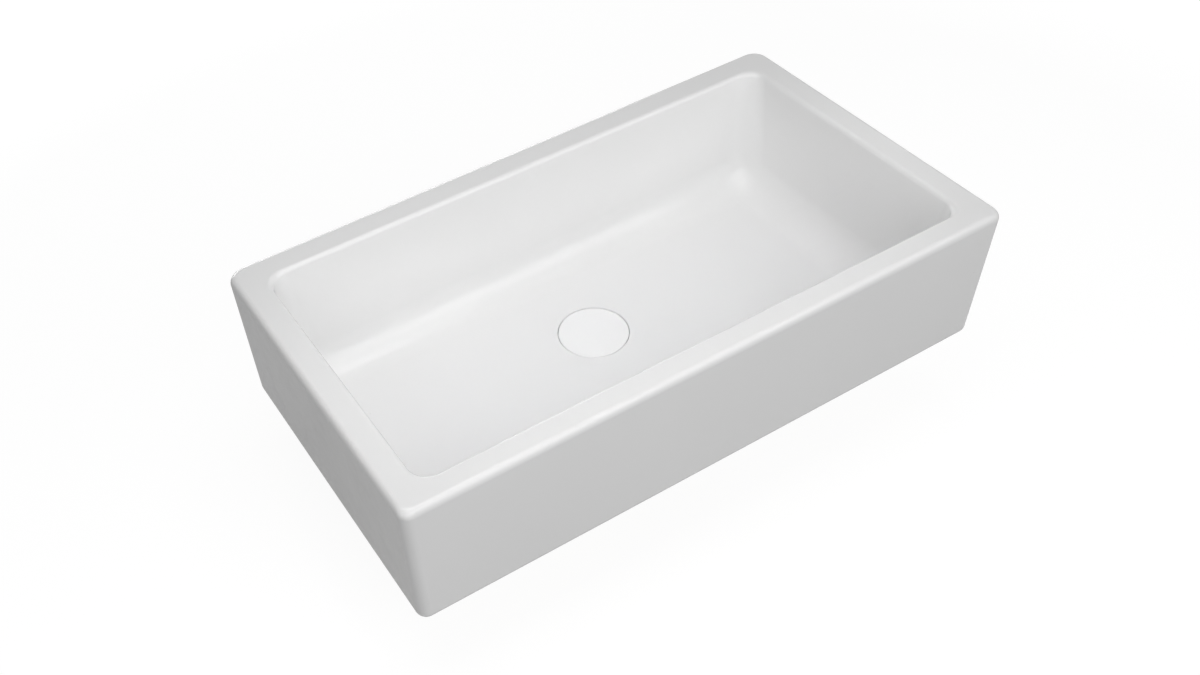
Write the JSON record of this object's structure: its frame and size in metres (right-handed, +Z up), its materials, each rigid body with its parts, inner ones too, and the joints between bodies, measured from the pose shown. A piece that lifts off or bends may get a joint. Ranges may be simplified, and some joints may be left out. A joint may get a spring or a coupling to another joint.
{
  "type": "farmhouse apron front sink",
  "caption": "White glazed fireclay farmhouse sink with a plain apron front, one deep rectangular basin, and a basket waste under a removable white drain cap.",
  "frame": {"origin": "on the drain's axis, level with the lower end of the tailpiece", "axes": "+X along the sink, to the right of someone who faces the apron; +Y from the apron to the back; +Z up, along the drain's axis"},
  "size_m": [0.8376, 0.4646, 0.356],
  "materials": {
    "glaze": "gloss white glaze over fireclay",
    "cap_glaze": "gloss white glaze",
    "soft_rubber": "soft, satin",
    "steel": "polished stainless steel",
    "steel_sheet": "satin stainless sheet",
    "white_rubber": "matt",
    "black_rubber": "matt",
    "fibre": "pressed fibre",
    "nut_plastic": "moulded, white",
    "clip_plastic": "moulded, natural white",
    "pipe_plastic": "extruded tube, white"
  },
  "bodies": {
    "bowl": {"sink_bowl": "glaze", "strainer_body": "steel", "flange_seal": "white_rubber", "under_gasket": "black_rubber", "fibre_washer": "fibre", "locknut": "nut_plastic", "tail_washer": "white_rubber", "coupling_nut": "nut_plastic", "tailpiece": "pipe_plastic"},
    "basket": {"basket_cup": "steel_sheet", "basket_post": "steel", "basket_knob": "steel", "basket_washer": "steel_sheet", "stopper_seal": "black_rubber", "post_clip": "clip_plastic"},
    "cap": {"drain_cap": "cap_glaze", "cap_pads": "soft_rubber"}
  },
  "joints": [
    {"name": "basket_lift", "type": "slide", "parent": "bowl", "child": "basket", "axis": [0, 0, 1], "range_m": [0, 0.12]},
    {"name": "cap_lift", "type": "slide", "parent": "basket", "child": "cap", "axis": [0, 0, 1], "range_m": [0, 0.1]}
  ]
}
